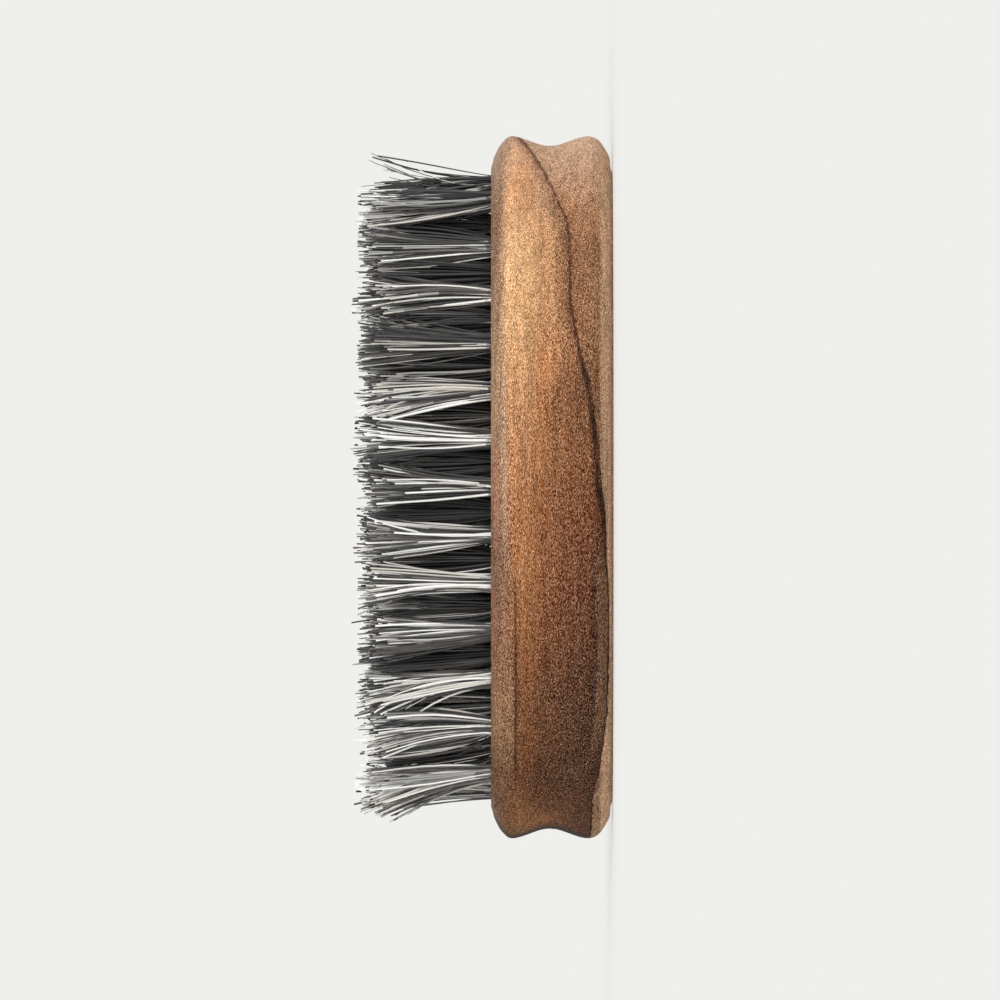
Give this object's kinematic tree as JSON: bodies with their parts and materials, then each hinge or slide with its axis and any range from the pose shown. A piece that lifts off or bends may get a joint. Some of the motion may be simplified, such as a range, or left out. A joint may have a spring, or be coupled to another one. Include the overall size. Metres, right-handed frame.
{
  "type": "beard brush",
  "caption": "Oval wooden beard brush with a finger groove round its side and staggered tufts of light and dark fibre.",
  "frame": {"origin": "middle of the flat wooden back, which the brush stands on", "axes": "+X along the block, +Y across it, +Z from the back through the wood towards the fibre tips"},
  "size_m": [0.11, 0.036, 0.0397],
  "materials": {
    "wood": "satin",
    "fibre": "matt stiff fibre, light and dark mixed",
    "anchor_wire": "drawn flat wire"
  },
  "bodies": {
    "root": {"block": "wood", "tuft_row_01": "fibre", "tuft_row_02": "fibre", "tuft_row_03": "fibre", "tuft_row_04": "fibre", "tuft_row_05": "fibre", "tuft_row_06": "fibre", "tuft_row_07": "fibre", "tuft_row_08": "fibre", "tuft_row_09": "fibre", "tuft_row_10": "fibre", "tuft_row_11": "fibre", "tuft_row_12": "fibre", "tuft_row_13": "fibre", "tuft_row_14": "fibre", "tuft_row_15": "fibre", "tuft_row_16": "fibre", "tuft_row_17": "fibre", "tuft_row_18": "fibre", "tuft_row_19": "fibre", "tuft_row_20": "fibre", "tuft_row_21": "fibre", "tuft_row_22": "fibre", "tuft_row_23": "fibre", "tuft_row_24": "fibre", "tuft_row_25": "fibre", "tuft_row_26": "fibre", "tuft_row_27": "fibre", "anchor_row_01": "anchor_wire", "anchor_row_02": "anchor_wire", "anchor_row_03": "anchor_wire", "anchor_row_04": "anchor_wire", "anchor_row_05": "anchor_wire", "anchor_row_06": "anchor_wire", "anchor_row_07": "anchor_wire", "anchor_row_08": "anchor_wire", "anchor_row_09": "anchor_wire", "anchor_row_10": "anchor_wire", "anchor_row_11": "anchor_wire", "anchor_row_12": "anchor_wire", "anchor_row_13": "anchor_wire", "anchor_row_14": "anchor_wire", "anchor_row_15": "anchor_wire", "anchor_row_16": "anchor_wire", "anchor_row_17": "anchor_wire", "anchor_row_18": "anchor_wire", "anchor_row_19": "anchor_wire", "anchor_row_20": "anchor_wire", "anchor_row_21": "anchor_wire", "anchor_row_22": "anchor_wire", "anchor_row_23": "anchor_wire", "anchor_row_24": "anchor_wire", "anchor_row_25": "anchor_wire", "anchor_row_26": "anchor_wire", "anchor_row_27": "anchor_wire"}
  },
  "joints": []
}
